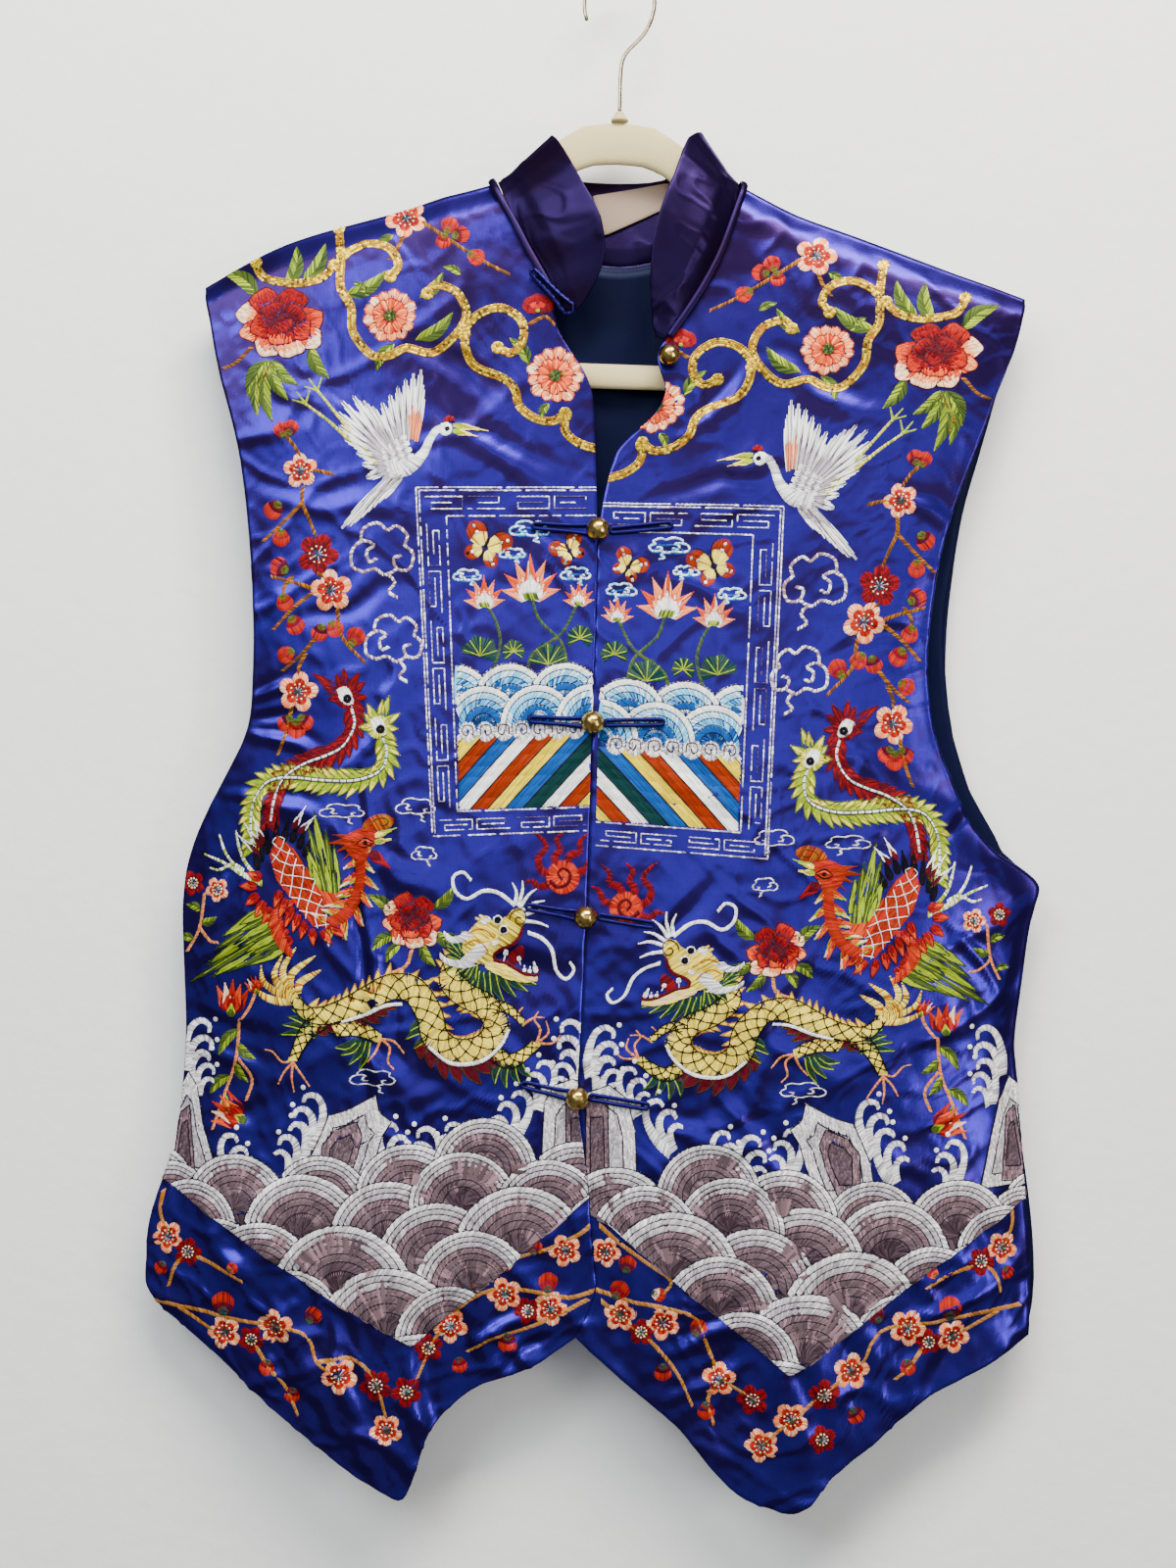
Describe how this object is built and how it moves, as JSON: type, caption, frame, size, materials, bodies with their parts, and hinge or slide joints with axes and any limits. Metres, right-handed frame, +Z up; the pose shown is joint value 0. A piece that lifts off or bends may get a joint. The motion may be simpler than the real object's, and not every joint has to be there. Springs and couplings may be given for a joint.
{
  "type": "embroidered vest on hanger",
  "caption": "Sleeveless embroidered satin vest with stand collar, corded front fastenings and pointed front hems, hanging on a flocked hanger with a wire hook.",
  "frame": {"origin": "inside of the hook's bend, at its top, where the rod carries it", "axes": "+Z up, +X towards the wearer's left (the viewer's right), the vest faces -Y"},
  "size_m": [0.506, 0.0564, 0.8721],
  "materials": {
    "blue_satin": "glossy woven satin, royal blue with a purple cast",
    "navy_lining": "plain lining cloth, low sheen",
    "label_tape": "matt woven tape, blank",
    "old_brass": "worn polished brass",
    "cream_flock": "matt velvet flock over moulded plastic",
    "gilt_steel": "thin plated wire, warm metallic"
  },
  "bodies": {
    "root": {"front_right": "blue_satin", "front_left": "blue_satin", "back": "blue_satin", "back_lining": "navy_lining", "collar": "blue_satin", "collar_piping": "blue_satin", "neck_label": "label_tape", "frog_loop_1": "blue_satin", "frog_loop_2": "blue_satin", "frog_loop_3": "blue_satin", "frog_loop_4": "blue_satin", "frog_knot_1": "blue_satin", "frog_knot_2": "blue_satin", "frog_knot_3": "blue_satin", "frog_knot_4": "blue_satin", "button_1": "old_brass", "button_2": "old_brass", "button_3": "old_brass", "button_4": "old_brass", "button_collar": "old_brass", "collar_loop": "blue_satin", "hanger": "cream_flock", "hanger_neck": "cream_flock", "hook": "gilt_steel"}
  },
  "joints": []
}
